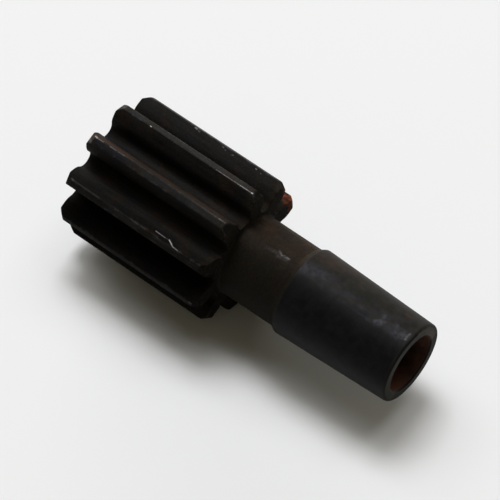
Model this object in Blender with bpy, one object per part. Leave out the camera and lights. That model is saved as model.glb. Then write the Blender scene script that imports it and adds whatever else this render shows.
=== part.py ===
"""Pinion gear: ten spur teeth, a short neck and a hollow tapered shank, all one piece of steel.

It is made here the way the real one is: a blank is turned in one profile, bore included, and
ten tooth gaps are then cut along it. The gap's outline is the one that a rack-shaped hob
leaves: an involute flank above, and below it the curve that the hob's rounded corner sweeps,
which undercuts the flank because ten teeth are few.

The pinion lies on the lands of two neighbouring teeth, with its axis along X and the shank
towards +X. The origin is on the ground, under the middle of its length.
"""

import math

import bmesh
import bpy
from mathutils import Vector

MM = 0.001

# Teeth: standard proportions for the module
MODULE = 3.0 * MM
TOOTH_COUNT = 10
PRESSURE_ANGLE = math.radians(20.0)
ADDENDUM = 3.0 * MM
DEDENDUM = 3.75 * MM
HOB_CORNER_RADIUS = 1.1 * MM
BACKLASH_PER_FLANK = 0.08 * MM
FACE_WIDTH = 40.0 * MM
END_CHAMFER_RADIAL = 1.2 * MM
END_CHAMFER_AXIAL = 1.4 * MM

# Bore: drilled from the shank's end, with a drill's point at its floor
BORE_RADIUS = 7.2 * MM
BORE_DEPTH = 40.0 * MM
BORE_EDGE_BREAK = 0.3 * MM
DRILL_POINT_ANGLE = math.radians(118.0)

# Tapered shank round the bore: the wall is measured at the rim, the taper on the diameter
RIM_WALL = 2.75 * MM
RIM_ROUND = 0.7 * MM
SHANK_LENGTH = 31.7 * MM
SHANK_TAPER = 1.0 / 16.0

# Neck between the teeth and the shank, stepped down from the shank at a sloping shoulder
NECK_LENGTH = 14.8 * MM
NECK_FILLET = 0.8 * MM
SHOULDER_HEIGHT = 0.8 * MM
SHOULDER_LENGTH = 1.4 * MM
SHOULDER_ROUND = 0.5 * MM

# How finely round stretches are divided
SEGMENTS_PER_TOOTH = 10
FLANK_POINTS = 8
ROOT_POINTS = 10
ARC_STEPS = 4
HALVINGS = 40

# The gap cutter runs this far past the teeth, at both ends and outwards
CUTTER_OVERRUN = 1.0 * MM
MERGE_DISTANCE = 0.000001
SHARP_EDGE_ANGLE = math.radians(25.0)

PITCH_RADIUS = MODULE * TOOTH_COUNT / 2.0
BASE_RADIUS = PITCH_RADIUS * math.cos(PRESSURE_ANGLE)
TIP_RADIUS = PITCH_RADIUS + ADDENDUM
TOTAL_LENGTH = FACE_WIDTH + NECK_LENGTH + SHANK_LENGTH
TOOTH_PITCH_ANGLE = 2.0 * math.pi / TOOTH_COUNT


def involute(angle):
    """The involute function of a pressure angle."""
    return math.tan(angle) - angle


def flank_gap_angle(radius):
    """Half the angle of the tooth gap between its two involute flanks at a radius."""
    flank_angle = math.acos(min(1.0, BASE_RADIUS / radius))
    gap_at_pitch = TOOTH_PITCH_ANGLE / 4.0 + BACKLASH_PER_FLANK / PITCH_RADIUS
    return gap_at_pitch + involute(flank_angle) - involute(PRESSURE_ANGLE)


def root_point(tilt):
    """Where the hob's rounded corner cuts the root, as a radius and half a gap angle.

    tilt is how far round its corner the hob touches: 0 at its flat tip, which cuts the
    bottom of the gap, up to where the corner meets the hob's straight flank.
    """
    corner_depth = DEDENDUM - HOB_CORNER_RADIUS
    corner_half_width = (math.pi * MODULE / 4.0 + BACKLASH_PER_FLANK
                         - corner_depth * math.tan(PRESSURE_ANGLE)
                         - HOB_CORNER_RADIUS / math.cos(PRESSURE_ANGLE))
    across = corner_half_width + HOB_CORNER_RADIUS * math.sin(tilt)
    below = corner_depth + HOB_CORNER_RADIUS * math.cos(tilt)
    # The hob has rolled until the line at right angles to the cut passes the pitch point
    from_pitch_point = below * math.tan(tilt)
    rolled = (from_pitch_point - across) / PITCH_RADIUS
    radius = math.hypot(from_pitch_point, PITCH_RADIUS - below)
    return radius, math.atan2(from_pitch_point, PITCH_RADIUS - below) - rolled


def root_end_tilt():
    """How far round its corner the hob still cuts root, found by halving.

    Where it undercuts, the root curve crosses the flank before the hob's corner ends.
    """
    low = 0.0
    high = math.pi / 2.0 - PRESSURE_ANGLE
    for _ in range(HALVINGS):
        middle = (low + high) / 2.0
        radius, angle = root_point(middle)
        if radius < BASE_RADIUS or angle > flank_gap_angle(radius):
            low = middle
        else:
            high = middle
    return low


def gap_half_outline():
    """One side of a tooth gap from its bottom outwards, as (radius, half gap angle) pairs."""
    last_tilt = root_end_tilt()
    root = [root_point(last_tilt * step / ROOT_POINTS) for step in range(ROOT_POINTS + 1)]
    flank_start = root[-1][0]
    flank_end = TIP_RADIUS + CUTTER_OVERRUN
    flank = []
    for step in range(1, FLANK_POINTS + 1):
        radius = flank_start + (flank_end - flank_start) * step / FLANK_POINTS
        flank.append((radius, flank_gap_angle(radius)))
    return root + flank


def arc(centre, radius, start, end):
    """Points on an arc in the turning profile's plane, angles measured from +X."""
    points = []
    for step in range(ARC_STEPS + 1):
        angle = start + (end - start) * step / ARC_STEPS
        points.append((centre[0] + radius * math.cos(angle), centre[1] + radius * math.sin(angle)))
    return points


def rounded_corner(before, corner, after, radius):
    """The arc that replaces a corner of the turning profile."""
    to_before = (Vector(before) - Vector(corner)).normalized()
    to_after = (Vector(after) - Vector(corner)).normalized()
    half_angle = to_before.angle(to_after) / 2.0
    centre = Vector(corner) + (to_before + to_after).normalized() * radius / math.sin(half_angle)
    reach = radius / math.tan(half_angle)
    first = Vector(corner) + to_before * reach - centre
    last = Vector(corner) + to_after * reach - centre
    points = []
    for step in range(ARC_STEPS + 1):
        spoke = first.slerp(last, step / ARC_STEPS)
        points.append(tuple(centre + spoke.normalized() * radius))
    return points


def turning_profile():
    """The blank's half section as (x, radius) points, from the free end round to the bore's floor."""
    neck_start = FACE_WIDTH
    shoulder_start = neck_start + NECK_LENGTH
    taper_start = shoulder_start + SHOULDER_LENGTH
    rim_radius = BORE_RADIUS + RIM_WALL
    shank_radius = rim_radius + (TOTAL_LENGTH - taper_start) * SHANK_TAPER / 2.0
    neck_radius = shank_radius - SHOULDER_HEIGHT
    bore_floor = TOTAL_LENGTH - BORE_DEPTH
    drill_point = BORE_RADIUS / math.tan(DRILL_POINT_ANGLE / 2.0)

    gear_end = [
        (0.0, 0.0),
        (0.0, TIP_RADIUS - END_CHAMFER_RADIAL),
        (END_CHAMFER_AXIAL, TIP_RADIUS),
        (FACE_WIDTH - END_CHAMFER_AXIAL, TIP_RADIUS),
        (FACE_WIDTH, TIP_RADIUS - END_CHAMFER_RADIAL),
    ]
    fillet = arc((neck_start + NECK_FILLET, neck_radius + NECK_FILLET), NECK_FILLET,
                 math.pi, 1.5 * math.pi)
    neck_end = (shoulder_start, neck_radius)
    shoulder = rounded_corner(neck_end, (taper_start, shank_radius),
                              (TOTAL_LENGTH, rim_radius), SHOULDER_ROUND)
    rim = rounded_corner((taper_start, shank_radius), (TOTAL_LENGTH, rim_radius),
                         (TOTAL_LENGTH, BORE_RADIUS), RIM_ROUND)
    bore = [
        (TOTAL_LENGTH, BORE_RADIUS + BORE_EDGE_BREAK),
        (TOTAL_LENGTH - BORE_EDGE_BREAK, BORE_RADIUS),
        (bore_floor, BORE_RADIUS),
        (bore_floor - drill_point, 0.0),
    ]
    return gear_end + fillet + [neck_end] + shoulder + rim + bore


def mesh_from(bm, name):
    """A mesh with its doubles merged and its faces pointing out."""
    bmesh.ops.remove_doubles(bm, verts=bm.verts, dist=MERGE_DISTANCE)
    bmesh.ops.dissolve_degenerate(bm, edges=bm.edges, dist=MERGE_DISTANCE)
    bmesh.ops.recalc_face_normals(bm, faces=bm.faces)
    mesh = bpy.data.meshes.new(name)
    bm.to_mesh(mesh)
    bm.free()
    return mesh


def add_object(name, mesh):
    obj = bpy.data.objects.new(name, mesh)
    bpy.context.scene.collection.objects.link(obj)
    return obj


def turned_blank():
    """The blank: its profile spun about X, with an edge line along the middle of each tooth."""
    bm = bmesh.new()
    middle_of_a_tooth = Vector((0.0, math.sin(TOOTH_PITCH_ANGLE / 2.0),
                                math.cos(TOOTH_PITCH_ANGLE / 2.0)))
    verts = [bm.verts.new(Vector((x, 0.0, 0.0)) + middle_of_a_tooth * radius)
             for x, radius in turning_profile()]
    edges = [bm.edges.new(pair) for pair in zip(verts[:-1], verts[1:])]
    bmesh.ops.spin(bm, geom=verts + edges, cent=(0.0, 0.0, 0.0), axis=(1.0, 0.0, 0.0),
                   dvec=(0.0, 0.0, 0.0), angle=2.0 * math.pi,
                   steps=SEGMENTS_PER_TOOTH * TOOTH_COUNT)
    return mesh_from(bm, "pinion")


def gap_cutters():
    """The tooth gaps as prisms, the first straight down between the two teeth it lies on."""
    bm = bmesh.new()
    side = gap_half_outline()
    outline = [(radius, -angle) for radius, angle in reversed(side)] + side
    start = -CUTTER_OVERRUN
    length = FACE_WIDTH + 2.0 * CUTTER_OVERRUN
    for gap in range(TOOTH_COUNT):
        middle = math.pi + gap * TOOTH_PITCH_ANGLE
        verts = [bm.verts.new((start, radius * math.sin(middle + angle),
                               radius * math.cos(middle + angle)))
                 for radius, angle in outline]
        face = bm.faces.new(verts)
        extruded = bmesh.ops.extrude_face_region(bm, geom=[face])["geom"]
        moved = [item for item in extruded if isinstance(item, bmesh.types.BMVert)]
        bmesh.ops.translate(bm, verts=moved, vec=(length, 0.0, 0.0))
    return mesh_from(bm, "tooth_gaps")


def cut_away(obj, cutter):
    """Takes the cutter's solids out of obj for good, and removes the cutter."""
    modifier = obj.modifiers.new("cut", "BOOLEAN")
    modifier.operation = "DIFFERENCE"
    modifier.object = cutter
    evaluated = obj.evaluated_get(bpy.context.evaluated_depsgraph_get())
    cut_mesh = bpy.data.meshes.new_from_object(evaluated)
    obj.modifiers.remove(modifier)
    obj.data = cut_mesh
    bpy.data.objects.remove(cutter)


def steel():
    """Blackened steel, dull and nearly black, with a brown cast."""
    material = bpy.data.materials.new("blackened_steel")
    material.use_nodes = True
    shader = material.node_tree.nodes["Principled BSDF"]
    shader.inputs["Base Color"].default_value = (0.035, 0.031, 0.028, 1.0)
    shader.inputs["Metallic"].default_value = 0.85
    shader.inputs["Roughness"].default_value = 0.45
    return material


def main():
    for obj in list(bpy.data.objects):
        bpy.data.objects.remove(obj)

    pinion = add_object("pinion", turned_blank())
    cut_away(pinion, add_object("tooth_gaps", gap_cutters()))
    pinion.data.name = "pinion"
    pinion.data.materials.clear()
    pinion.data.materials.append(steel())
    pinion.data.shade_smooth()
    pinion.data.set_sharp_from_angle(angle=SHARP_EDGE_ANGLE)

    # It lies on its lowest tooth lands, with the middle of its length over the origin
    axis_height = -min(vert.co.z for vert in pinion.data.vertices)
    pinion.location = (-TOTAL_LENGTH / 2.0, 0.0, axis_height)


main()
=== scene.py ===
# %% [markdown]
# # A pinion gear in blackened steel
#
# A pinion is the smaller gear of a pair. This one is a single piece of steel: ten straight
# teeth, a short neck, and a hollow shank that tapers slightly towards its open end. The packed
# CAD model already has the right size and shape, in faceted form. This lesson builds the
# same piece again with the fine things that the eye looks for, such as rounded edges, wear,
# dents, rust and the marks of the tools, and lights it as a small studio would.

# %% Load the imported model
import math

import bmesh
import bpy
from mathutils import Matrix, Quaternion, Vector


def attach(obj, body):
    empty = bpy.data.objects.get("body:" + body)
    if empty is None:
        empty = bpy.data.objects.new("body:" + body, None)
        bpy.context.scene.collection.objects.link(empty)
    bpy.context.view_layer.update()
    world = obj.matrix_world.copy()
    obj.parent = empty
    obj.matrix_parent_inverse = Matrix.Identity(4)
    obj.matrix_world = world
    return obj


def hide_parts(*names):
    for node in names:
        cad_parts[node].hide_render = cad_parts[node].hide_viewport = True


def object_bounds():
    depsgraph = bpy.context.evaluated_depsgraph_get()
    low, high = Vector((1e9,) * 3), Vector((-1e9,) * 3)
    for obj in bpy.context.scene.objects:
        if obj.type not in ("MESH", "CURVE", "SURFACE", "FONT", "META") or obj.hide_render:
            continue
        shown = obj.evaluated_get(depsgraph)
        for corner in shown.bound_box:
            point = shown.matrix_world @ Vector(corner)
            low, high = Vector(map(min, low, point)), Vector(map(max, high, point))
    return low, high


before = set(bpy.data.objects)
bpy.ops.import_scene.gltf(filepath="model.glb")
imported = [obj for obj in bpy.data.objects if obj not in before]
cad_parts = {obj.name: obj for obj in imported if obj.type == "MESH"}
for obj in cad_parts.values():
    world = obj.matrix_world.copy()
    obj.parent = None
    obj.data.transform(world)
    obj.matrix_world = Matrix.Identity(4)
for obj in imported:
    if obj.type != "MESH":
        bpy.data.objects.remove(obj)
cad_low, cad_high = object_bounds()
MM = 0.001
print("CAD box in mm:", [round(v / MM, 2) for v in (*cad_low, *cad_high)])

# %% [markdown]
# ## The sizes
#
# Gear teeth follow from a few numbers. The module is the pitch diameter divided by the number
# of teeth, and every other length of a standard tooth is a multiple of it. The numbers here
# are the ones that the CAD model was made from, so the two shapes agree.

# %% Sizes of the pinion
MODULE = 3.0 * MM
TOOTH_COUNT = 10
PRESSURE_ANGLE = math.radians(20.0)
ADDENDUM = 3.0 * MM
DEDENDUM = 3.75 * MM
HOB_CORNER_RADIUS = 1.1 * MM
BACKLASH_PER_FLANK = 0.08 * MM
FACE_WIDTH = 40.0 * MM
END_CHAMFER_RADIAL = 1.2 * MM
END_CHAMFER_AXIAL = 1.4 * MM

BORE_RADIUS = 7.2 * MM
BORE_DEPTH = 40.0 * MM
BORE_EDGE_BREAK = 0.3 * MM
DRILL_POINT_ANGLE = math.radians(118.0)

RIM_WALL = 2.75 * MM
RIM_ROUND = 0.7 * MM
SHANK_LENGTH = 31.7 * MM
SHANK_TAPER = 1.0 / 16.0
NECK_LENGTH = 14.8 * MM
NECK_FILLET = 0.8 * MM
SHOULDER_HEIGHT = 0.8 * MM
SHOULDER_LENGTH = 1.4 * MM
SHOULDER_ROUND = 0.5 * MM

PITCH_RADIUS = MODULE * TOOTH_COUNT / 2.0
BASE_RADIUS = PITCH_RADIUS * math.cos(PRESSURE_ANGLE)
TIP_RADIUS = PITCH_RADIUS + ADDENDUM
ROOT_RADIUS = PITCH_RADIUS - DEDENDUM
RIM_RADIUS = BORE_RADIUS + RIM_WALL
TOTAL_LENGTH = FACE_WIDTH + NECK_LENGTH + SHANK_LENGTH
TAPER_START = FACE_WIDTH + NECK_LENGTH + SHOULDER_LENGTH
SHANK_RADIUS = RIM_RADIUS + (TOTAL_LENGTH - TAPER_START) * SHANK_TAPER / 2.0
NECK_RADIUS = SHANK_RADIUS - SHOULDER_HEIGHT
TOOTH_PITCH = 2.0 * math.pi / TOOTH_COUNT

# It lies on two tooth lands with two more on top, so the axis is at half its height
AXIS_HEIGHT = (cad_low.z + cad_high.z) / 2.0
print("tip diameter in mm:", 2 * TIP_RADIUS / MM, " axis height in mm:", round(AXIS_HEIGHT / MM, 3))

# %% [markdown]
# ## The outline of one tooth
#
# The flank of a gear tooth is an involute, the curve at the end of a taut string that is
# unwound from a circle. A rack-shaped hob cuts it, and the hob's rounded corner leaves a
# second curve at the foot of the tooth. With only ten teeth that corner digs in under the
# flank, which is the slight waist to be seen at the foot of each tooth. Both curves could be
# drawn by eye with a spline, but the formulas are short and give the real shape.

# %% Involute flank and hobbed root
def involute(angle):
    """The involute function of a pressure angle."""
    return math.tan(angle) - angle


def gap_angle_on_flank(radius):
    """Half the angle of the gap between two teeth at a radius."""
    flank_angle = math.acos(min(1.0, BASE_RADIUS / radius))
    at_pitch = TOOTH_PITCH / 4.0 + BACKLASH_PER_FLANK / PITCH_RADIUS
    return at_pitch + involute(flank_angle) - involute(PRESSURE_ANGLE)


def root_point(tilt):
    """Where the hob's rounded corner cuts, as a radius and half a gap angle."""
    corner_depth = DEDENDUM - HOB_CORNER_RADIUS
    corner_half_width = (math.pi * MODULE / 4.0 + BACKLASH_PER_FLANK
                         - corner_depth * math.tan(PRESSURE_ANGLE)
                         - HOB_CORNER_RADIUS / math.cos(PRESSURE_ANGLE))
    across = corner_half_width + HOB_CORNER_RADIUS * math.sin(tilt)
    below = corner_depth + HOB_CORNER_RADIUS * math.cos(tilt)
    from_pitch_point = below * math.tan(tilt)
    rolled = (from_pitch_point - across) / PITCH_RADIUS
    angle = math.atan2(from_pitch_point, PITCH_RADIUS - below) - rolled
    return math.hypot(from_pitch_point, PITCH_RADIUS - below), angle


def tilt_where_flank_starts():
    """How far round its corner the hob still cuts root, found by halving."""
    low, high = 0.0, math.pi / 2.0 - PRESSURE_ANGLE
    for _ in range(40):
        middle = (low + high) / 2.0
        radius, angle = root_point(middle)
        if radius < BASE_RADIUS or angle > gap_angle_on_flank(radius):
            low = middle
        else:
            high = middle
    return low


LAST_TILT = tilt_where_flank_starts()
FLANK_START = root_point(LAST_TILT)[0]
print("the flank starts at a radius of", round(FLANK_START / MM, 3), "mm")

# %% [markdown]
# On the real gear no edge is knife-sharp. The edge between the land, which is the top of the
# tooth, and the flank gets a small round here, because a rounded edge is what catches the
# light. Each outline has the same number of points in the same order, whatever its tip
# radius, so that outlines can be joined to their neighbours face by face.

# %% Half a tooth's outline
LAND_STEPS = 2
EDGE_STEPS = 4
FLANK_STEPS = 8
ROOT_STEPS = 8
EDGE_ROUND = 0.16 * MM


def turned(radius, angle):
    """A point as across and up, at an angle from straight up."""
    return Vector((radius * math.sin(angle), radius * math.cos(angle)))


def on_tooth(radius, gap_angle):
    """A point beside the middle of the tooth."""
    return turned(radius, TOOTH_PITCH / 2.0 - gap_angle)


def half_outline(tip_radius):
    """From the middle of the land down one flank to the middle of the gap."""
    corner = on_tooth(tip_radius, gap_angle_on_flank(tip_radius))
    half_land = math.atan2(corner.x, corner.y)
    land_end = half_land - EDGE_ROUND / tip_radius
    flank_top = tip_radius - 0.8 * EDGE_ROUND

    points = [turned(tip_radius, land_end * share) for share in (0.0, 0.7)]
    start = turned(tip_radius, land_end)
    end = on_tooth(flank_top, gap_angle_on_flank(flank_top))
    for step in range(EDGE_STEPS + 1):
        t = step / EDGE_STEPS
        points.append(start * (1 - t) ** 2 + corner * 2 * t * (1 - t) + end * t ** 2)
    for step in range(1, FLANK_STEPS + 1):
        radius = flank_top + (FLANK_START - flank_top) * (step / FLANK_STEPS) ** 1.3
        points.append(on_tooth(radius, gap_angle_on_flank(radius)))
    for step in range(1, ROOT_STEPS + 1):
        points.append(on_tooth(*root_point(LAST_TILT * (1 - step / ROOT_STEPS))))
    points.append(on_tooth(ROOT_RADIUS, 0.0))
    return points


def outline(tip_radius, inset=0.0):
    """A whole tooth's outline from gap to gap, moved into the metal by inset."""
    half = half_outline(tip_radius)
    whole = [Vector((-p.x, p.y)) for p in reversed(half[1:])] + half
    if inset == 0.0:
        return whole
    moved = []
    for index, point in enumerate(whole):
        along = whole[min(index + 1, len(whole) - 1)] - whole[max(index - 1, 0)]
        outward = Vector((-along.y, along.x)).normalized()
        if index in (0, len(whole) - 1):
            outward = point.normalized()
        moved.append(point - outward * inset)
    return moved


TOOTH_OUTLINE = outline(TIP_RADIUS)
print(len(TOOTH_OUTLINE), "points to a tooth; land", round(2 * TIP_RADIUS * math.sin(
    TOOTH_PITCH / 2.0 - gap_angle_on_flank(TIP_RADIUS)) / MM, 2), "mm wide")

# %% [markdown]
# ## One tenth of the pinion
#
# The whole pinion is ten equal slices, like a cake's. A slice is a stack of rows of points:
# from the middle of the free end out to the tooth, along the tooth, back in to the neck, over
# the shank, round its rim and down the bore to the drill's point. Every row has as many
# points as the tooth's outline, so the slice is one sheet of four-sided faces.
#
# The turned rows are circles. Their points are spread in nearly the same angles as the
# outline's, so that the flat end faces stay free of folded faces.

# %% Angles of a turned row
FOOT_ANGLE = math.atan2(*on_tooth(*root_point(LAST_TILT))) * 0.93


def row_angles():
    foot = LAND_STEPS + EDGE_STEPS + FLANK_STEPS
    angles = [FOOT_ANGLE * index / foot if index <= foot else math.atan2(point.x, point.y)
              for index, point in enumerate(half_outline(TIP_RADIUS))]
    return [-angle for angle in reversed(angles[1:])] + angles


ROW_ANGLES = row_angles()
steps = [math.degrees(b - a) for a, b in zip(ROW_ANGLES, ROW_ANGLES[1:])]
print("a turned row's steps are", round(min(steps), 2), "to", round(max(steps), 2), "degrees")

# %% [markdown]
# The end chamfer of the teeth was turned on the blank, so it is a cone, and where the cone
# meets the land the edge has worn a little soft. Where the teeth end, the last rows draw in
# along a quarter circle, which rounds the sharp rim of the end face.

# %% Rows along the teeth
END_ROUND = 0.12 * MM
CHAMFER_SOFTNESS = 0.14 * MM
ROW_SPACING = 0.6 * MM


def tip_radius_near_end(distance):
    """The teeth's outside radius at a distance from the nearer end face."""
    cone = TIP_RADIUS - END_CHAMFER_RADIAL * (1.0 - distance / END_CHAMFER_AXIAL)
    above = cone - TIP_RADIUS
    return TIP_RADIUS + (above - math.hypot(above, CHAMFER_SOFTNESS)) / 2.0


def end_rows():
    """Distance from the end face, tip radius and inset, from the face inwards."""
    rows = [(0.0, tip_radius_near_end(0.0), END_ROUND + 0.05 * MM)]
    for turn in (90, 60, 30, 0):
        inset = END_ROUND * (1.0 - math.cos(math.radians(turn)))
        distance = END_ROUND * (1.0 - math.sin(math.radians(turn)))
        rows.append((distance, tip_radius_near_end(distance), inset))
    for distance in (0.35, 0.75, 1.1, 1.25, 1.35, 1.45, 1.6, 1.85):
        rows.append((distance * MM, tip_radius_near_end(distance * MM), 0.0))
    return rows


def tooth_rows():
    """All rows of the toothed length as x, tip radius and inset."""
    near = end_rows()
    first, last = near[-1][0], FACE_WIDTH - near[-1][0]
    count = round((last - first) / ROW_SPACING)
    middle = [(first + (last - first) * step / count, TIP_RADIUS, 0.0) for step in range(1, count)]
    far = [(FACE_WIDTH - distance, radius, inset) for distance, radius, inset in reversed(near)]
    return near + middle + far


TOOTH_ROWS = tooth_rows()
print(len(TOOTH_ROWS), "rows along the teeth")

# %% [markdown]
# The rest of the pinion is turned. Its half section is a line with corners, and each corner
# has the radius that the lathe tool or wear gave it. Every stretch has the name of its
# finish, because the neck, the shank, the ring at the rim and the bore all look different.

# %% Half section of the turned part
FINISHES = ["teeth", "neck", "shank", "rim", "bore"]
BORE_FLOOR = TOTAL_LENGTH - BORE_DEPTH
DRILL_POINT = BORE_FLOOR - BORE_RADIUS / math.tan(DRILL_POINT_ANGLE / 2.0)

# x, radius, corner radius, how worn the corner is (on the shank also a lighter edge, partly a
# painted highlight), finish of the stretch that follows
HALF_SECTION = [
    (FACE_WIDTH, NECK_RADIUS + NECK_FILLET * 1.05, 0.0, 0.0, "teeth"),
    (FACE_WIDTH, NECK_RADIUS, NECK_FILLET, 0.0, "neck"),
    (FACE_WIDTH + NECK_LENGTH, NECK_RADIUS, 0.25 * MM, 0.0, "neck"),
    (TAPER_START, SHANK_RADIUS, SHOULDER_ROUND, 0.6, "shank"),
    (TOTAL_LENGTH, RIM_RADIUS, RIM_ROUND, 0.5, "rim"),
    (TOTAL_LENGTH, BORE_RADIUS + BORE_EDGE_BREAK, 0.1 * MM, 1.0, "rim"),
    (TOTAL_LENGTH - BORE_EDGE_BREAK, BORE_RADIUS, 0.1 * MM, 1.0, "bore"),
    (BORE_FLOOR, BORE_RADIUS, 0.3 * MM, 0.0, "bore"),
    (DRILL_POINT + 0.3 * MM, 0.5 * MM, 0.0, 0.0, "bore"),
]
CORNERS = [Vector((x, radius)) for x, radius, _, _, _ in HALF_SECTION]


def corner_arc(index, steps=6):
    """The arc that replaces a corner of the half section, or the corner itself."""
    corner, radius = CORNERS[index], HALF_SECTION[index][2]
    if radius == 0.0:
        return [corner]
    to_before = (CORNERS[index - 1] - corner).normalized()
    to_after = (CORNERS[index + 1] - corner).normalized()
    half_angle = to_before.angle(to_after) / 2.0
    centre = corner + (to_before + to_after).normalized() * radius / math.sin(half_angle)
    reach = radius / math.tan(half_angle)
    first, last = corner + to_before * reach - centre, corner + to_after * reach - centre
    return [centre + first.slerp(last, step / steps).normalized() * radius
            for step in range(steps + 1)]


def stretch_rows(start, end, longest, support=0.15 * MM):
    """Points between two arcs, with short end steps, which keep an arc's shading off the rest."""
    reach = (end - start).length
    if reach < 1.0 * MM:
        return []
    count = max(1, round((reach - 2.0 * support) / longest))
    places = [support + (reach - 2.0 * support) * step / count for step in range(count + 1)]
    return [start + (end - start) * place / reach for place in places]


def turned_rows():
    """Rows as x, radius, wear and the finish of the faces that follow."""
    rows = []
    finish = HALF_SECTION[0][4]
    for index, (_, _, _, wear, next_finish) in enumerate(HALF_SECTION):
        arc = corner_arc(index)
        for place, point in enumerate(arc):
            if place == len(arc) // 2:
                finish = next_finish
            rows.append((point.x, point.y, wear, finish))
        if index + 1 < len(HALF_SECTION):
            longest = 4.0 * MM if finish == "bore" else 1.0 * MM
            for point in stretch_rows(arc[-1], corner_arc(index + 1)[0], longest):
                rows.append((point.x, point.y, 0.0, finish))
    return rows


TURNED_ROWS = turned_rows()
print(len(TURNED_ROWS), "turned rows")

# %% [markdown]
# Now the rows become a sheet of faces. Two things travel with the points: how worn each one
# is, which is highest along the edges of the tooth lands, and which finish each face has.
# Wear could be found in the shader from the bend of the surface, but a stored value stays
# where it is put, and other programs can read it.

# %% The slice as a mesh
LAND_EDGE = LAND_STEPS + EDGE_STEPS // 2
WEAR_REACH = 0.28 * MM
CHAMFER_WEAR_REACH = 0.2 * MM


def edge_wear(points, x):
    """Wear of one toothed row: 1 on the edges of the land, fading over a few tenths of a mm."""
    distance = min(x, FACE_WIDTH - x)
    middle = len(points) // 2
    edges = [points[middle - LAND_EDGE], points[middle + LAND_EDGE]]
    edge_wear_and_highlight = []
    for index, point in enumerate(points):
        near = min((point - edge).length for edge in edges)
        amount = math.exp(-(near / WEAR_REACH) ** 2)
        if abs(index - middle) <= LAND_STEPS + 1:
            from_chamfer = (distance - END_CHAMFER_AXIAL) / CHAMFER_WEAR_REACH
            amount = max(amount, math.exp(-from_chamfer ** 2))
        if x < END_ROUND and point.length > PITCH_RADIUS:
            amount = max(amount, 0.8)
        edge_wear_and_highlight.append(amount)
    return edge_wear_and_highlight


def circle_points(radius):
    return [turned(radius, angle) for angle in ROW_ANGLES]


def slice_rows():
    """Every row as x, points, wear of each point and the finish of the faces that follow."""
    unworn = [0.0] * len(ROW_ANGLES)
    rows = [(0.0, circle_points(radius * MM), unworn, "teeth") for radius in (0.5, 4.0, 8.0, 10.8)]
    for x, tip_radius, inset in TOOTH_ROWS:
        points = outline(tip_radius, inset)
        rows.append((x, points, edge_wear(points, x), "teeth"))
    for x, radius, wear, finish in TURNED_ROWS:
        rows.append((x, circle_points(radius), [wear] * len(ROW_ANGLES), finish))
    return rows


def build_slice():
    rows = slice_rows()
    width = len(ROW_ANGLES)
    verts, faces, finishes, edge_wear_and_highlight = [], [], [], []
    for x, points, wear, _ in rows:
        verts += [(x, -point.x, point.y) for point in points]
        edge_wear_and_highlight += wear
    for row in range(len(rows) - 1):
        for column in range(width - 1):
            corner = row * width + column
            faces.append((corner, corner + 1, corner + width + 1, corner + width))
            finishes.append(FINISHES.index(rows[row][3]))
    for x, row in ((0.0, 0), (DRILL_POINT, len(rows) - 1)):
        verts.append((x, 0.0, 0.0))
        edge_wear_and_highlight.append(0.0)
        for column in range(width - 1):
            pair = (row * width + column, row * width + column + 1)
            faces.append((*(pair[::-1] if row == 0 else pair), len(verts) - 1))
            finishes.append(FINISHES.index(rows[row][3]))
    mesh = bpy.data.meshes.new("pinion_slice")
    mesh.from_pydata(verts, [], faces)
    mesh.attributes.new("edge_wear_and_highlight", "FLOAT", "POINT").data.foreach_set("value", edge_wear_and_highlight)
    mesh.attributes.new("finish", "INT", "FACE").data.foreach_set("value", finishes)
    return mesh


def new_object(name, data):
    obj = bpy.data.objects.new(name, data)
    bpy.context.scene.collection.objects.link(obj)
    return obj


slice_object = new_object("pinion_slice", build_slice())
print("the slice has", len(slice_object.data.polygons), "faces")

# %% [markdown]
# ## Ten slices round the axis
#
# Geometry Nodes do the repeating. A line of points with no length gives one instance of the
# slice for each tooth, each turned a tenth of a circle further. Realizing the instances makes
# them real faces, merging by distance sews the seams into one closed skin, and each material
# goes to the faces that carry its finish. The number of teeth and the seam distance are
# inputs of the tree, so they can be changed in the modifier.

# %% Colours from hex, and how a node is added
def steel_colour(hex_code):
    """An sRGB hex colour as linear RGBA."""
    values = []
    for start in (0, 2, 4):
        value = int(hex_code[start:start + 2], 16) / 255.0
        values.append(value / 12.92 if value <= 0.04045 else ((value + 0.055) / 1.055) ** 2.4)
    return (*values, 1.0)


def set_input(tree, socket, value):
    """Links a socket to another, or to a node's first live output, or gives it a value."""
    if isinstance(value, bpy.types.Node):
        value = next(output for output in value.outputs if output.enabled)
    if isinstance(value, bpy.types.NodeSocket):
        tree.links.new(value, socket)
    elif socket.type == "RGBA" and isinstance(value, str):
        socket.default_value = steel_colour(value)
    else:
        socket.default_value = value


def add_node(tree, kind, inputs=(), **settings):
    """Adds a node. Inputs come in order, or by name or number where some are skipped.

    The kind of a shader node comes without its first word, ShaderNode.
    """
    node = tree.nodes.new(kind if "Node" in kind else "ShaderNode" + kind)
    for name, value in settings.items():
        setattr(node, name, value)
    for name, value in inputs.items() if isinstance(inputs, dict) else enumerate(inputs):
        set_input(tree, node.inputs[name], value)
    return node


def new_group(name, inputs, outputs, kind="ShaderNodeTree"):
    """An empty group of nodes. Its sockets are given as name and kind."""
    tree = bpy.data.node_groups.new(name, kind)
    for in_out, sockets in (("INPUT", inputs), ("OUTPUT", outputs)):
        for socket, socket_kind in sockets:
            tree.interface.new_socket(socket, in_out=in_out, socket_type="NodeSocket" + socket_kind)
    return tree


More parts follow.
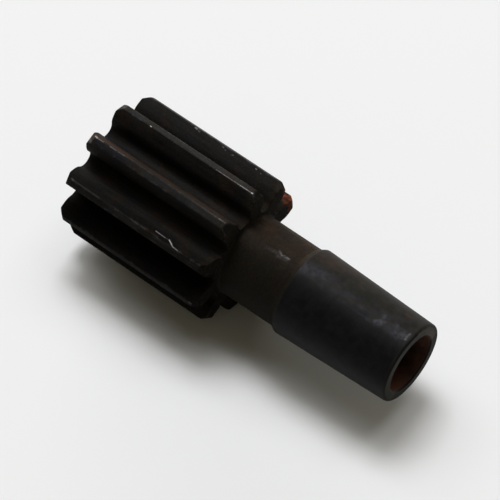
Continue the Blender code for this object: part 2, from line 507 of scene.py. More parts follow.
# %% The tree that repeats a slice
def slices_tree():
    tree = new_group("slices_round_the_axis",
                     [("Geometry", "Geometry"), ("Slices", "Int"), ("Seam Distance", "Float"),
                      *((finish, "Material") for finish in FINISHES)],
                     [("Geometry", "Geometry")], "GeometryNodeTree")
    given = add_node(tree, "NodeGroupInput").outputs
    line = add_node(tree, "GeometryNodeMeshLine",
                    {"Count": given["Slices"], "Offset": (0.0, 0.0, 0.0)})
    index = add_node(tree, "GeometryNodeInputIndex")
    step = add_node(tree, "Math", (2.0 * math.pi, given["Slices"]), operation="DIVIDE")
    whole_and_half = add_node(tree, "Math", (index, 0.5), operation="ADD")
    turn = add_node(tree, "Math", (whole_and_half, step), operation="MULTIPLY")
    about_x = add_node(tree, "CombineXYZ", {"X": turn})
    rotation = add_node(tree, "FunctionNodeEulerToRotation", {"Euler": about_x})
    slices = add_node(tree, "GeometryNodeInstanceOnPoints",
                      {"Points": line, "Instance": given["Geometry"], "Rotation": rotation})
    real = add_node(tree, "GeometryNodeRealizeInstances", {"Geometry": slices})
    last = add_node(tree, "GeometryNodeMergeByDistance",
                    {"Geometry": real, "Distance": given["Seam Distance"]})
    stored = add_node(tree, "GeometryNodeInputNamedAttribute", {"Name": "finish"}, data_type="INT")
    for number, finish in enumerate(FINISHES):
        same = add_node(tree, "FunctionNodeCompare", {2: stored, 3: number},
                        data_type="INT", operation="EQUAL")
        last = add_node(tree, "GeometryNodeSetMaterial",
                        {"Geometry": last, "Selection": same, "Material": given[finish]})
    add_node(tree, "NodeGroupOutput", (last,))
    return tree


# %% Repeat the slice and make it one plain mesh
# The materials are still empty; later cells give them their nodes
STEEL = {finish: bpy.data.materials.new(name) for finish, name in zip(FINISHES, (
    "black_oxide_hobbed_steel", "brown_oxide_turned_steel", "black_oxide_turned_steel",
    "faced_steel", "rusted_drilled_steel"))}

slice_object.data.materials.append(STEEL["teeth"])
modifier = slice_object.modifiers.new("slices", "NODES")
modifier.node_group = slices_tree()
wanted = {"Slices": TOOTH_COUNT, "Seam Distance": 0.002 * MM, **STEEL}
for item in modifier.node_group.interface.items_tree:
    if item.in_out == "INPUT" and item.name in wanted:
        modifier[item.identifier] = wanted[item.name]

depsgraph = bpy.context.evaluated_depsgraph_get()
pinion_mesh = bpy.data.meshes.new_from_object(slice_object.evaluated_get(depsgraph),
                                              preserve_all_data_layers=True, depsgraph=depsgraph)
bpy.data.objects.remove(slice_object)
for vert in pinion_mesh.vertices:
    vert.co += Vector((-TOTAL_LENGTH / 2.0, 0.0, AXIS_HEIGHT))
pinion = new_object("pinion_steel", pinion_mesh)

# %% Check that the skin is closed and faces outwards
def check_skin(mesh):
    bm = bmesh.new()
    bm.from_mesh(mesh)
    if bm.calc_volume(signed=True) < 0.0:
        bmesh.ops.reverse_faces(bm, faces=bm.faces)
        bm.to_mesh(mesh)
    open_edges = sum(not edge.is_manifold for edge in bm.edges)
    triangles = sum(len(face.verts) - 2 for face in bm.faces)
    print(triangles, "triangles,", open_edges, "open edges, volume",
          round(bm.calc_volume(signed=True) / MM ** 3), "mm3")
    bm.free()


check_skin(pinion_mesh)
pinion_mesh.shade_smooth()

# %% [markdown]
# ## Knocks in the steel
#
# The edges of the teeth have a few knocks. Each is a small flat where something harder hit
# the edge: the steel outside a plane was pushed back to that plane. Moving the points that
# lie outside it is enough, because the rows are close together there.

# %% Flatten the knocked places
def on_steel(x, radius, angle):
    """A point in mm on the axis' own lines: x along it, angle in degrees from straight up."""
    a = math.radians(angle)
    return Vector((x, -radius * math.sin(a), radius * math.cos(a)))


KNOCK_REACH = 3.0
KNOCK_END_SLOPE = 6.0

# start x, end x, one side of the flat as radius and angle, other side as radius and angle
KNOCKS = [
    (-18.4, -13.6, (17.05, 49.2), (18.0, 52.3)),
    (-7.6, -6.2, (17.5, 50.3), (18.0, 52.3)),
    (-34.2, -33.6, (17.7, -14.9), (18.0, -16.2)),
    (-5.4, -4.6, (17.7, 14.9), (18.0, 16.4)),
]


def knock_flats(mesh):
    moved = 0
    for start, end, near, far in KNOCKS:
        first, second = on_steel(0.0, *near), on_steel(0.0, *far)
        outward = Vector((1.0, 0.0, 0.0)).cross(second - first).normalized()
        if outward.dot(first) < 0.0:
            outward.negate()
        for vert in mesh.vertices:
            place = (vert.co - Vector((0.0, 0.0, AXIS_HEIGHT))) / MM
            along = (place.x - start) / (end - start)
            across = Vector((0.0, place.y, place.z)) - first
            height = across.dot(outward)
            if 0.0 < along < 1.0 and height > 0.0 and across.length < KNOCK_REACH:
                depth = height * min(1.0, KNOCK_END_SLOPE * min(along, 1.0 - along))
                vert.co -= outward * depth * MM
                moved += 1
    print(moved, "points pushed back")


knock_flats(pinion_mesh)

# %% [markdown]
# ## Measuring inside the materials
#
# A pattern looks right only if its grains, lines and spots have their real size. The first
# node group turns Object coordinates into millimetres from the pinion's own axis, and also
# gives the distance from that axis. The second gives a soft-edged stroke between two points,
# which serves for a scratch, a chip of bare steel, or with both ends in one place for a rust
# spot.

# %% Node group: millimetres from the axis
PLACE = new_group("place_in_mm", [], [("Place", "Vector"), ("Along", "Float"), ("Radius", "Float")])
coordinates = add_node(PLACE, "TexCoord")
place = add_node(PLACE, "Mapping",
                 {"Vector": coordinates.outputs["Object"],
                  "Location": (0.0, 0.0, -AXIS_HEIGHT / MM), "Scale": (1.0 / MM,) * 3})
across = add_node(PLACE, "VectorMath", (place, (0.0, 1.0, 1.0)), operation="MULTIPLY")
radius = add_node(PLACE, "VectorMath", (across,), operation="LENGTH")
along = add_node(PLACE, "SeparateXYZ", (place,))
add_node(PLACE, "NodeGroupOutput", {"Place": place, "Along": along, "Radius": radius})

# %% Node group: a soft-edged stroke
STROKE = new_group("stroke", [("Place", "Vector"), ("Start", "Vector"), ("End", "Vector"),
                              ("Core", "Float"), ("Reach", "Float")], [("Amount", "Float")])
given = add_node(STROKE, "NodeGroupInput").outputs
line, from_start = [add_node(STROKE, "VectorMath", (given[end], given["Start"]),
                             operation="SUBTRACT") for end in ("End", "Place")]
projected, squared = [add_node(STROKE, "VectorMath", (first, line),
                               operation="DOT_PRODUCT") for first in (from_start, line)]
some_length = add_node(STROKE, "Math", (squared, 0.000001), operation="MAXIMUM")
share = add_node(STROKE, "Math", (projected, some_length), operation="DIVIDE", use_clamp=True)
nearest = add_node(STROKE, "VectorMath", {0: line, "Scale": share}, operation="SCALE")
away = add_node(STROKE, "VectorMath", (from_start, nearest), operation="DISTANCE")
faded = add_node(STROKE, "MapRange", (away, given["Core"], given["Reach"], 1.0, 0.0),
                 interpolation_type="SMOOTHSTEP")
add_node(STROKE, "NodeGroupOutput", {"Amount": faded})


def strokes(tree, place, marks, within=1.0):
    """The strongest of several marks, times within.

    A mark is start and end, as on_steel takes them, core and reach in mm, and strength.
    """
    strongest = 0.0
    for start, end, core, reach, strength in marks:
        stroke = add_node(tree, "Group",
                          {"Place": place, "Start": on_steel(*start), "End": on_steel(*end),
                           "Core": core, "Reach": reach}, node_tree=STROKE)
        stroke = add_node(tree, "Math", (stroke, strength), operation="MULTIPLY")
        strongest = add_node(tree, "Math", (strongest, stroke), operation="MAXIMUM")
    return add_node(tree, "Math", (strongest, within), operation="MULTIPLY")


# %% What several finishes share
def start_material(material, **shader_values):
    """Turns on a material's nodes and gives its shader its fixed values."""
    material.use_nodes = True
    tree = material.node_tree
    shader = tree.nodes["Principled BSDF"]
    for name, value in shader_values.items():
        set_input(tree, shader.inputs[name.replace("_", " ")], value)
    return tree, shader


def start_finish(finish, **shader_values):
    """The material of one finish, with its nodes on and the places in mm at hand."""
    tree, shader = start_material(STEEL[finish], **shader_values)
    where = add_node(tree, "Group", node_tree=PLACE).outputs
    return tree, shader, where, where["Place"]


def end_finish(tree, shader, colour, height, strength, distance, bare=None, rough=None):
    """Gives the shader its colour, its relief in mm and, where steel is bare, metal and gloss."""
    bump = add_node(tree, "Bump",
                    {"Height": height, "Strength": strength, "Distance": distance * MM})
    for name, value in (("Base Color", colour), ("Metallic", bare), ("Roughness", rough),
                        ("Normal", bump)):
        if value is not None:
            set_input(tree, shader.inputs[name], value)


def noise_mask(tree, place, size, low, high, detail=3.0, seed=0.0, most=1.0):
    """Soft patches of a size in mm: 0 below low and the most above high."""
    pattern = add_node(tree, "TexNoise",
                       {"Vector": place, "Scale": 1.0 / size, "Detail": detail, "W": seed},
                       noise_dimensions="4D")
    return add_node(tree, "MapRange", (pattern, low, high, 0.0, most),
                    interpolation_type="SMOOTHSTEP")


def shaken(tree, place, size, reach):
    """The place moved by up to reach mm in waves of a size in mm, which makes outlines ragged."""
    waves = add_node(tree, "TexNoise",
                     {"Vector": place, "Scale": 1.0 / size, "Detail": 4.0}).outputs["Color"]
    moved = add_node(tree, "VectorMath", (waves, (2.0 * reach,) * 3, place),
                     operation="MULTIPLY_ADD")
    return add_node(tree, "VectorMath", (moved, (-reach,) * 3), operation="ADD")


def turned_grain(tree, where, rings_per_mm, darkest, lightest):
    """The grain and the tool's rings on a turned surface, as a height and as a shade."""
    grain = noise_mask(tree, where["Place"], 0.4, 0.3, 0.7, detail=2.0, seed=1.0)
    rings = add_node(tree, "TexNoise",
                     {"W": where["Along"], "Scale": rings_per_mm, "Detail": 2.0},
                     noise_dimensions="1D")
    height = add_node(tree, "Math", (grain, rings), operation="ADD")
    return height, add_node(tree, "MapRange", (height, 0.3, 1.7, darkest, lightest))


# %% [markdown]
# ## Black oxide on the hobbed teeth
#
# The teeth were hobbed and then blackened in a hot salt bath. The oxide film is thin and
# almost without gloss, so most of what it sends back is a very dark, even tone. It is thinner and
# smoother on the lands, which were turned before the hob cut the gaps between them. Handling
# has rubbed the edges down to bare steel in places, and a brown film of early rust lies on
# the flanks. The oxide is a film that isn't metallic; the bare places are, and are lighter.

# %% Marks on the teeth
# Start and end, each as x, radius and angle; full strength within, gone at (mm); strength
BARE_EDGES = [
    ((-18.05, 17.08, 49.3), (-16.9, 17.12, 49.4), 0.06, 0.2, 0.6),
    ((-16.7, 17.12, 49.4), (-15.39, 17.16, 49.5), 0.06, 0.2, 0.5),
    ((-15.39, 17.16, 49.5), (-14.23, 17.09, 49.3), 0.03, 0.14, 0.25),
    ((-14.23, 17.09, 49.3), (-12.51, 17.82, 51.1), 0.08, 0.21, 0.85),
    ((-12.51, 17.82, 51.1), (-11.0, 17.99, 51.5), 0.06, 0.19, 0.6),
    ((-6.86, 17.84, 51.1), (-6.6, 17.84, 51.1), 0.15, 0.5, 0.07),
    ((-15.1, 18.0, -15.5), (-8.2, 18.0, -15.5), 0.03, 0.2, 0.45),
    ((-8.2, 18.0, -15.5), (-6.4, 18.0, -15.5), 0.06, 0.28, 0.65),
    ((-6.4, 18.0, -15.5), (-5.0, 18.0, -15.5), 0.03, 0.24, 0.5),
    ((-4.95, 18.0, -15.6), (-4.85, 17.95, -15.9), 0.12, 0.34, 1.1),
    ((-33.93, 18.0, -15.6), (-33.8, 18.0, -15.6), 0.1, 0.3, 0.9),
    ((-14.0, 18.0, 15.5), (-6.8, 18.0, 15.5), 0.03, 0.18, 0.1),
    ((-6.4, 18.0, 15.5), (-4.7, 18.0, 15.5), 0.08, 0.28, 0.35),
    ((-41.9, 17.8, 15.5), (-41.4, 18.0, 15.6), 0.08, 0.35, 1.0),
    ((-41.2, 18.0, 15.7), (-39.6, 18.0, 15.7), 0.02, 0.24, 0.45),
    ((-37.6, 18.0, 15.7), (-35.9, 18.0, 15.7), 0.02, 0.2, 0.35),
    ((-35.2, 18.0, 15.7), (-33.4, 18.0, 15.7), 0.02, 0.2, 0.3),
    ((-42.9, 17.1, 19.5), (-42.2, 17.6, 20.6), 0.1, 0.7, 0.3),
    ((-28.6, 17.78, -50.9), (-28.1, 17.7, -50.8), 0.08, 0.3, 0.5),
    ((-27.6, 17.6, -50.5), (-27.1, 17.5, -50.3), 0.03, 0.22, 0.28),
    ((-20.6, 17.6, -50.5), (-20.2, 17.5, -50.3), 0.05, 0.25, 0.33),
    ((-19.6, 17.3, -49.8), (-19.4, 17.3, -49.8), 0.03, 0.2, 0.25),
    ((-17.6, 17.2, -49.6), (-17.2, 17.3, -49.7), 0.05, 0.22, 0.28),
    ((-11.0, 17.55, -50.4), (-10.7, 17.45, -50.2), 0.05, 0.25, 0.38),
    ((-9.4, 17.3, -49.8), (-9.2, 17.2, -49.6), 0.03, 0.2, 0.25),
    ((-4.2, 17.4, -50.2), (-3.6, 16.3, -47.6), 0.1, 0.9, 0.04),
    ((-41.9, 17.8, 51.2), (-33.7, 18.0, 51.5), 0.05, 0.35, 0.1),
    ((-41.7, 17.6, 51.4), (-41.2, 17.9, 51.4), 0.1, 0.4, 0.3),
    ((-42.5, 17.3, -19.5), (-42.0, 17.6, -16.5), 0.2, 0.8, 0.12),
    ((-5.0, 18.0, 88.5), (-4.5, 18.0, 89.0), 0.1, 0.4, 0.3),
]
RUST_SPOTS = [
    ((-6.0, 16.4, -83.8), (-3.7, 17.2, -86.0), 0.8, 1.5, 1.0),
    ((-3.3, 16.5, -86.0), (-3.3, 15.9, -91.0), 0.5, 1.3, 1.0),
    ((-4.4, 15.7, -82.6), (-3.8, 15.5, -82.3), 0.6, 1.4, 0.5),
    ((-3.4, 17.0, -56.6), (-3.3, 15.9, -58.6), 0.15, 0.6, 0.8),
    ((-42.0, 17.6, 14.6), (-38.5, 17.3, 13.9), 0.3, 1.2, 0.1),
    ((-3.6, 17.6, 123.0), (-3.4, 17.2, 128.0), 0.2, 1.3, 0.25),
]
BROWN_FREE_END = [((-42.3, 17.4, 14.4), (-32.0, 17.2, 13.8), 0.8, 2.0, 1.0)]
BROWN_FLANK = [((-32.0, 17.3, 14.0), (-5.0, 16.6, 12.5), 0.6, 2.6, 0.75)]
# Painted shade at the neck-side ends of two teeth, in the recess beside the neck
PAINTED_SHADE_ENDS = [
    ((-3.9, 17.3, 14.5), (-3.9, 17.3, 21.5), 0.5, 1.1, 0.85),
    ((-4.0, 17.5, -21.0), (-3.9, 17.3, -15.0), 0.5, 1.1, 0.6),
]
COOL_LAND = [((-44.0, 17.6, -18.0), (-39.0, 18.0, -18.0), 1.0, 4.0, 0.9)]
# Painted shade: one land is painted darker and bluer, standing in for its duller reflection of the
# lamps
PAINTED_SHADE_LAND = [
    ((-41.5, 18.0, 18.5), (-30.0, 18.0, 18.5), 0.9, 1.5, 0.9),
    ((-30.0, 18.0, 18.5), (-15.0, 18.0, 18.5), 0.6, 1.5, 0.4),
]

# %% Teeth: where each film lies
tree, shader, where, place = start_finish("teeth", Specular_IOR_Level=0.045)
edge_wear_and_highlight = add_node(tree, "Attribute", attribute_name="edge_wear_and_highlight").outputs["Fac"]
ragged = shaken(tree, place, 0.8, 0.8)
sides = add_node(tree, "SeparateXYZ", (ragged,)).outputs

# The land is above 17.8 mm. The neck's end was turned with the neck, and its colour is painted
# lighter higher up and darker lower down, which is painted shade. The teeth on the -Y side face
# away from the lamps and are painted darker, as painted shade
land, below_land, high, neck_end, painted_lit_side = [add_node(tree, "MapRange", ramp) for ramp in (
    (where["Radius"], 17.8, 17.92), (where["Radius"], 17.8, 17.92, 1.0, 0.0),
    (sides["Z"], -12.0, 6.0), (sides["X"], -6.5, -3.6),
    (sides["Y"], -15.0, -8.0, 0.55, 1.0))]
# Brown film on the neck-side ends with painted shade: darker lower down, lighter higher up
end_film_and_shade = add_node(tree, "Mix", {0: high, 6: "120e0b", 7: "1f1b16"}, data_type="RGBA")
thin = noise_mask(tree, place, 1.4, 0.2, 0.55, detail=5.0, seed=21.0)
flank = strokes(tree, ragged, BROWN_FLANK, within=thin)
free_end = strokes(tree, ragged, BROWN_FREE_END)
flank = add_node(tree, "Math", (flank, free_end), operation="MAXIMUM")
flank = add_node(tree, "Math", (flank, below_land), operation="MULTIPLY")

# Over the flanks' black: the smoother, greyer film of the lands, cool at one free end and painted
# darker on one land as painted shade; a brown film in patches and along one flank; the neck's end,
# brown with painted shade lower down, and its darkest places, which are painted shade
film = "161514"
for amount, coat in (
        (land, "232220"),
        (strokes(tree, place, COOL_LAND, within=land), "222528"),
        (strokes(tree, place, PAINTED_SHADE_LAND), "141519"),
        (noise_mask(tree, place, 5.0, 0.42, 0.68, detail=5.0, seed=3.0, most=0.7), "201912"),
        (flank, "2f241d"),
        (neck_end, end_film_and_shade),
        (strokes(tree, ragged, PAINTED_SHADE_ENDS), "0e0d0b")):
    film = add_node(tree, "Mix", {0: amount, 6: film, 7: coat}, data_type="RGBA")

# %% Teeth: grain, rust and bare steel
# Grain about a third of a millimetre, coarser than the real one so that it shows, and the
# lengthwise streaks that the teeth have from being wiped and stored: 8 mm long, under 1 mm wide
grain = noise_mask(tree, place, 0.35, 0.3, 0.7, detail=2.0, seed=1.0)
stretched = add_node(tree, "VectorMath", (place, (0.1, 1.0, 1.0)), operation="MULTIPLY")
streaks = noise_mask(tree, stretched, 0.8, 0.3, 0.7, seed=11.0)
shade = add_node(tree, "Math", (grain, streaks), operation="ADD")
shade = add_node(tree, "MapRange", {"Value": shade, "From Max": 2.0, "To Min": 0.5, "To Max": 1.6})
# Painted shade: the teeth on the -Y side are painted down to 0.55 of their colour
shade = add_node(tree, "Math", (shade, painted_lit_side), operation="MULTIPLY")
colour = add_node(tree, "VectorMath", {0: film, "Scale": shade}, operation="SCALE")

# Rust is deep brown to orange, in grains of most of a millimetre. Bare steel shows on rubbed
# edges, in broken stretches, and in the knocks
rust_tone = noise_mask(tree, place, 0.9, 0.36, 0.62, detail=5.0, seed=5.0)
rust_colour = add_node(tree, "Mix", {0: rust_tone, 6: "2a1912", 7: "66321c"}, data_type="RGBA")
rubbed = noise_mask(tree, place, 1.6, 0.50, 0.66, seed=7.0, most=0.13)
rubbed = add_node(tree, "Math", (rubbed, edge_wear_and_highlight), operation="MULTIPLY")
broken = noise_mask(tree, place, 0.6, 0.22, 0.5, seed=15.0)
chips = strokes(tree, place, BARE_EDGES, within=broken)
bare = add_node(tree, "Math", (rubbed, chips), operation="MAXIMUM")
for amount, coat in ((strokes(tree, ragged, RUST_SPOTS), rust_colour), (bare, "73706e")):
    colour = add_node(tree, "Mix", {0: amount, 6: colour, 7: coat}, data_type="RGBA")

# The film is smoothest on the lands, duller on the -Y side, and dullest at the neck
rough = add_node(tree, "MapRange", {"Value": land, "To Min": 0.62, "To Max": 0.42})
rough = add_node(tree, "Math", (rough, painted_lit_side), operation="DIVIDE")
for amount, roughness in ((neck_end, 0.95), (bare, 0.38)):
    rough = add_node(tree, "Mix", {0: amount, 2: rough, 3: roughness})
end_finish(tree, shader, colour, grain, 0.35, 0.02, bare, rough)
print("teeth:", len(BARE_EDGES), "bare marks,", len(RUST_SPOTS), "rust spots")

# %% [markdown]
# ## Brown oxide on the turned neck
#
# The neck was turned and left with a matt brown film, and so was the face of the shoulder
# beside it. Rings from the turning tool run round it. A few faint scratches lie along its top,
# where something hard slid over it.

# %% Neck
NECK_SCRATCHES = [
    ((3.4, 10.1, 4.2), (5.0, 10.1, 2.6), 0.1, 0.7, 0.07),
    ((5.0, 10.1, 3.0), (7.0, 10.1, 1.5), 0.1, 0.7, 0.11),
    ((6.5, 10.1, -1.2), (7.0, 10.1, 0.6), 0.12, 0.42, 0.33),
    ((7.3, 10.1, 1.6), (9.3, 10.1, 0.3), 0.08, 0.4, 0.36),
    ((6.8, 10.1, 5.0), (9.0, 10.1, 3.0), 0.1, 0.8, 0.12),
]
NECK_LIGHTER = [
    ((-1.2, 10.1, -32.0), (0.6, 10.1, -24.0), 0.6, 2.2, 0.4),
    ((2.0, 10.1, -62.0), (11.0, 10.1, -52.0), 1.0, 3.6, 0.7),
]
NECK_DARKER = [((3.2, 10.1, -38.0), (5.0, 10.1, -24.0), 0.5, 2.4, 0.55)]

tree, shader, where, place = start_finish("neck", Specular_IOR_Level=0.035)
blotch = noise_mask(tree, place, 4.0, 0.35, 0.65, seed=2.0)
film = add_node(tree, "Mix", {0: blotch, 6: "221a13", 7: "282018"}, data_type="RGBA")

# Brown on top and at the back; towards the teeth and on the -Y side a darker olive black, which is
# painted shade where the teeth shade the neck and the side faces away from the lamps
ragged = shaken(tree, place, 2.0, 2.5)
sides = add_node(tree, "SeparateXYZ", (ragged,)).outputs
from_front, from_teeth = [add_node(tree, "MapRange", ramp) for ramp in (
    (sides["Y"], -3.5, 1.0), (sides["X"], -4.5, 0.5))]
browned = add_node(tree, "Math", (from_front, from_teeth), operation="MULTIPLY")
film = add_node(tree, "Mix", {0: browned, 6: "191611", 7: film}, data_type="RGBA")
for marks, coat in ((NECK_LIGHTER, "33271d"), (NECK_DARKER, "17120e")):
    film = add_node(tree, "Mix", {0: strokes(tree, ragged, marks), 6: film, 7: coat},
                    data_type="RGBA")
height, shade = turned_grain(tree, where, 2.2, 0.75, 1.3)
grained = add_node(tree, "VectorMath", {0: film, "Scale": shade}, operation="SCALE")
broken = noise_mask(tree, place, 0.4, 0.3, 0.55, seed=15.0)
bare = strokes(tree, shaken(tree, place, 0.5, 0.25), NECK_SCRATCHES, within=broken)
colour = add_node(tree, "Mix", {0: bare, 6: grained, 7: "6f6f74"}, data_type="RGBA")
rough = add_node(tree, "Mix", {0: bare, 2: 0.6, 3: 0.4})
end_finish(tree, shader, colour, height, 0.35, 0.02, bare, rough)
print("neck:", len(NECK_SCRATCHES), "scratches")

# %% [markdown]
# ## Blue-black oxide on the shank
#
# The shank was turned more finely, so the film on it has a dull sheen. On the side that looks up
# and a little back the black is painted lighter, a mottle of olive, violet grey and brown: partly
# faded film and partly painted sheen of the lamps above. A few places are rubbed lighter, with a
# thin streak between them, which is a painted highlight.

# %% Marks on the shank
RUBBED_PLACES_AND_STREAK = [
    ((11.8, 10.3, 6.0), (12.3, 10.5, -5.0), 0.5, 1.6, 0.2625),
    ((13.5, 10.86, 0.0), (18.5, 10.75, -8.0), 0.3, 2.6, 0.1225),
    # Painted highlight: this thin streak stands for the lamp's reflection along the shank
    ((24.8, 10.5, 9.0), (33.2, 10.26, 9.7), 0.05, 0.5, 0.0875),
    ((34.6, 10.2, 5.5), (35.3, 10.2, 2.5), 0.3, 1.2, 0.2275),
    ((34.7, 10.2, -7.2), (35.1, 10.2, -5.6), 0.2, 0.9, 0.175),
    ((38.2, 10.1, -5.0), (38.6, 10.1, -3.5), 0.3, 1.2, 0.175),
    ((39.4, 10.05, 4.0), (41.0, 10.0, 0.0), 0.4, 1.8, 0.175),
]
RIM_CHIP = [
    ((42.0, 10.0, 3.5), (41.95, 10.0, -6.0), 0.02, 0.5, 0.5),
    ((41.2, 10.0, 4.0), (41.4, 10.0, -2.0), 0.1, 0.7, 0.2),
]
BROWNED_SHANK = [
    ((13.0, 10.8, -44.0), (22.0, 10.6, -50.0), 1.5, 5.0, 0.6),
    ((15.5, 10.8, -29.0), (19.0, 10.7, -33.0), 1.0, 3.2, 0.7),
]
DARK_MOTTLE = [
    ((25.5, 10.5, 11.0), (31.5, 10.32, 6.5), 0.2, 1.2, 0.85),
    ((31.0, 10.33, -9.0), (32.5, 10.3, -11.0), 0.2, 1.1, 0.4),
]
SHANK_RUST = [((38.1, 10.1, -31.5), (38.9, 10.1, -29.5), 0.2, 0.9, 0.5)]

# %% Shank
tree, shader, where, place = start_finish("shank", Specular_IOR_Level=0.07)
edge_wear_and_highlight = add_node(tree, "Attribute", attribute_name="edge_wear_and_highlight").outputs["Fac"]
ragged = shaken(tree, place, 1.2, 0.9)
stretched = add_node(tree, "VectorMath", (place, (0.45, 1.0, 1.0)), operation="MULTIPLY")
sides = add_node(tree, "SeparateXYZ", (place,)).outputs
# The violet grey lies towards -Y, along the painted sheen, and the brown towards +Y
violet_side, brown_side = [add_node(tree, "MapRange", ramp) for ramp in (
    (sides["Y"], 0.0, 4.0, 0.9, 0.3), (sides["Y"], 1.0, 8.0, 0.15, 0.5))]
violet = noise_mask(tree, stretched, 1.3, 0.36, 0.66, detail=5.0, seed=9.0, most=violet_side)
browned = noise_mask(tree, stretched, 1.5, 0.42, 0.66, detail=5.0, seed=12.0, most=brown_side)
brown_places = strokes(tree, ragged, BROWNED_SHANK)
browned = add_node(tree, "Math", (browned, brown_places), operation="MAXIMUM")
faded = "1b1a14"
for amount, coat in ((violet, "1f1f25"), (browned, "291e17")):
    faded = add_node(tree, "Mix", {0: amount, 6: faded, 7: coat}, data_type="RGBA")

# The side that looks up and a little back is painted lighter, partly faded film and partly painted
# sheen; the black film is whole elsewhere
painted_lit_side = add_node(tree, "VectorMath", (ragged, (0.0, 0.42, 0.91)), operation="DOT_PRODUCT")
painted_lit_side = add_node(tree, "Math", (painted_lit_side, where["Radius"]), operation="DIVIDE")
painted_lit_side = add_node(tree, "MapRange", (painted_lit_side, 0.795, 0.865))
film = "111112"
# The shoulder's and the rim's rounds are painted lighter: partly wear, partly a painted highlight
for amount, coat in ((painted_lit_side, faded), (strokes(tree, ragged, DARK_MOTTLE), "0f0f10"),
                     (edge_wear_and_highlight, "201f19")):
    film = add_node(tree, "Mix", {0: amount, 6: film, 7: coat}, data_type="RGBA")

height, shade = turned_grain(tree, where, 3.0, 0.85, 1.15)
clouds = noise_mask(tree, place, 1.8, 0.3, 0.7, detail=5.0, seed=33.0)
cloudy = add_node(tree, "MapRange", {"Value": clouds, "To Min": 0.68, "To Max": 1.28})
shade = add_node(tree, "Math", (shade, cloudy), operation="MULTIPLY")
colour = add_node(tree, "VectorMath", {0: film, "Scale": shade}, operation="SCALE")

patchy = noise_mask(tree, place, 0.9, 0.2, 0.7, detail=4.0, seed=4.0)
# Rubbed places, and one thin streak that is a painted highlight
rubbed = strokes(tree, ragged, RUBBED_PLACES_AND_STREAK, within=patchy)
chip = strokes(tree, shaken(tree, place, 0.5, 0.2), RIM_CHIP, within=patchy)
bare = add_node(tree, "Math", (rubbed, chip), operation="MAXIMUM")
bare_colour = add_node(tree, "Mix", {0: chip, 6: "5d5f6b", 7: "8c887f"}, data_type="RGBA")
for amount, coat in ((strokes(tree, ragged, SHANK_RUST), "3d2418"), (bare, bare_colour)):
    colour = add_node(tree, "Mix", {0: amount, 6: colour, 7: coat}, data_type="RGBA")
rough = add_node(tree, "Mix", {0: bare, 2: 0.52, 3: 0.4})
end_finish(tree, shader, colour, height, 0.3, 0.015, bare, rough)
print("shank:", len(RUBBED_PLACES_AND_STREAK), "rubbed places")

# %% [markdown]
# ## The faced ring and the rusted bore
#
# The ring at the rim was faced with a tool and has lost most of its film, so it is a dull
# olive grey with fine rings round it. The bore was drilled and has rusted to a dark red brown.

# %% Ring at the rim
LIGHT_RING = [
    ((43.2, 9.4, -18.0), (43.2, 9.4, -40.0), 0.2, 1.1, 0.9),
    ((43.2, 9.3, -40.0), (43.2, 8.2, -75.0), 0.5, 1.5, 1.0),
]
RING_RUST = [((43.2, 7.9, -62.0), (43.2, 8.0, -88.0), 0.2, 1.1, 0.6)]
DARK_RING = [
    ((43.2, 8.0, -95.0), (43.2, 8.0, -130.0), 1.0, 1.9, 0.9),
    ((43.2, 8.0, -130.0), (43.2, 8.2, -175.0), 1.3, 2.2, 0.9),
    ((43.2, 8.4, -175.0), (43.2, 8.8, 140.0), 1.0, 2.2, 0.75),
]

tree, shader, where, place = start_finish("rim", Specular_IOR_Level=0.045, Roughness=0.55)
ragged = shaken(tree, place, 1.2, 0.9)

# The facing tool stopped at the rounded edge, so the black film is whole outside it; the round is
# painted near black, which is also painted shade for a round that faces away from the lamps
outside = add_node(tree, "MapRange", (where["Radius"], 9.1, 9.35))
blotch = noise_mask(tree, place, 3.0, 0.35, 0.65, seed=6.0)
film = "1d1d15"
for amount, coat in (
        (blotch, "2a281f"), (outside, "0c0c0c"),
        (strokes(tree, ragged, LIGHT_RING), "39352f"),
        (strokes(tree, ragged, RING_RUST), "4a372c"),
        (strokes(tree, ragged, DARK_RING), "0e0c0a")):
    film = add_node(tree, "Mix", {0: amount, 6: film, 7: coat}, data_type="RGBA")
rings = add_node(tree, "TexNoise", {"W": where["Radius"], "Scale": 5.0, "Detail": 2.0},
                 noise_dimensions="1D")
shade = add_node(tree, "MapRange", (rings, 0.3, 0.7, 0.8, 1.2))
colour = add_node(tree, "VectorMath", {0: film, "Scale": shade}, operation="SCALE")
end_finish(tree, shader, colour, rings, 0.4, 0.02)

# %% Bore
BORE_RUST = [
    ((41.5, 7.2, 150.0), (38.0, 7.2, 165.0), 1.5, 5.5, 1.0),
    ((42.5, 7.2, -86.0), (41.0, 7.2, -100.0), 0.6, 3.0, 0.6),
]

tree, shader, where, place = start_finish("bore", Specular_IOR_Level=0.1, Roughness=0.8)
patches = noise_mask(tree, place, 2.5, 0.2, 0.95, detail=5.0, seed=18.0)
thick = add_node(tree, "Math", (patches, strokes(tree, place, BORE_RUST)), operation="MAXIMUM")
colour = add_node(tree, "Mix", {0: thick, 6: "302520", 7: "5c3c2e"}, data_type="RGBA")
grain = noise_mask(tree, place, 0.5, 0.3, 0.7, seed=1.0)
end_finish(tree, shader, colour, grain, 0.5, 0.05)
print("ring and bore:", len(LIGHT_RING + DARK_RING), "patches on the ring")

# %% Join the CAD frame
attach(pinion, "root")
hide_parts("pinion")

# %% [markdown]
# ## Floor
#
# The pinion lies on two of its teeth on a sheet of matt white paper, and the shank's end hangs
# clear of it. A plain quad is enough for that. It is 12 m wide, so that no other view shows its
# edge, and its colour stops just short of white, so that the shadow keeps its soft grey.

# %% Floor
FLOOR_HALF = 6.0

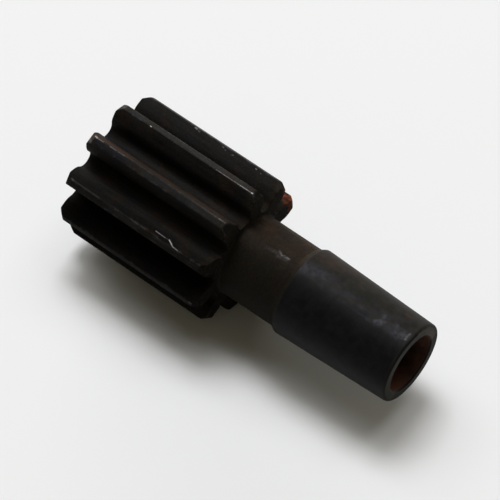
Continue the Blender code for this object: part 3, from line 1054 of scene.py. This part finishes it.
floor_mesh = bpy.data.meshes.new("floor")
corners = [(-1, -1), (1, -1), (1, 1), (-1, 1)]
floor_mesh.from_pydata([(x * FLOOR_HALF, y * FLOOR_HALF, 0.0) for x, y in corners], [],
                       [(0, 1, 2, 3)])
floor = new_object("floor", floor_mesh)
paper = bpy.data.materials.new("matt_white_paper")
tree, shader = start_material(paper, Base_Color="f0f0f0", Roughness=0.9, Specular_IOR_Level=0.0)
floor_mesh.materials.append(paper)
print("floor", 2.0 * FLOOR_HALF, "m wide, reflects", shader.inputs["Base Color"].default_value[0])

# %% [markdown]
# ## Lamps
#
# A shadow says what the lamp was. Its dark core lies close under the teeth and it fades out
# over several centimetres, so the main lamp is large, high up and behind the pinion, on the
# side away from the camera. It fades fast at first and then slowly, as it does under a soft
# box, whose cloth is brighter in the middle than at its edge. So the main lamp is two
# rectangles on one centre. A low panel behind gives the grazing shine along the lands and the
# shank, and a dim world fills the rest.

# %% Lamps
LAMP_DISTANCE = 3.0


def look_from(obj, azimuth, elevation, distance, tilt, centre=Vector()):
    """Puts a lamp or camera where it looks at the centre. Azimuth goes from +X towards +Y."""
    a, e = math.radians(azimuth), math.radians(elevation)
    away = Vector((math.cos(a) * math.cos(e), math.sin(a) * math.cos(e), math.sin(e)))
    obj.location = centre + away * distance
    obj.rotation_mode = "QUATERNION"
    obj.rotation_quaternion = ((-away).to_track_quat("-Z", "Y")
                               @ Quaternion((0.0, 0.0, 1.0), math.radians(tilt)))


def soft_box(name, azimuth, elevation, tilt, width, height, watts, colour):
    """A rectangular lamp that looks at the pinion."""
    lamp = bpy.data.lights.new(name, "AREA")
    lamp.shape = "RECTANGLE"
    lamp.size, lamp.size_y = width, height
    lamp.energy = watts
    lamp.color = colour
    look_from(new_object(name, lamp), azimuth, elevation, LAMP_DISTANCE, tilt)
    print(name, width, "by", height, "m,", watts, "W")


COOL_WHITE = (0.960, 0.970, 1.0)
WARM_WHITE = (1.0, 0.99, 0.95)
soft_box("key_middle", 131, 67, -18, 1.15, 0.9, 43.7, COOL_WHITE)
soft_box("key_edge", 131, 67, -18, 4.0, 1.7, 57.0, COOL_WHITE)
soft_box("back_panel", 140, 7, 0, 2.6, 0.7, 58.0, WARM_WHITE)

world = bpy.data.worlds.new("dim_studio")
world.use_nodes = True
background = world.node_tree.nodes["Background"]
background.inputs["Color"].default_value = (1.0, 0.93, 0.66, 1.0)
background.inputs["Strength"].default_value = 0.1
bpy.context.scene.world = world
bpy.context.scene.view_settings.view_transform = "Standard"

# %% [markdown]
# ## Camera
#
# The pinion's own lines say where the camera stood. Its two ends show almost the same scale, so
# it stood far off with a long lens, and the ellipse at the rim and the slant of the axis give the
# height and the side. The numbers are a fit to the outline and to the corners of the teeth. The
# last angle is the tilt of the camera about its own line of sight.

# %% Camera
AIM = Vector((-7.752, 6.595, 6.375)) * MM
AWAY = 909.6 * MM
AZIMUTH, ELEVATION, TILT = -49.072, 57.533, -2.494
LENS_IN_MM = 288.74

camera_data = bpy.data.cameras.new("camera")
camera_data.sensor_width = 36.0
camera_data.lens = LENS_IN_MM
camera = new_object("camera", camera_data)
look_from(camera, AZIMUTH, ELEVATION, AWAY, TILT, AIM)
bpy.context.scene.camera = camera
print("camera", round(AWAY, 3), "m away, lens", camera_data.lens, "mm")
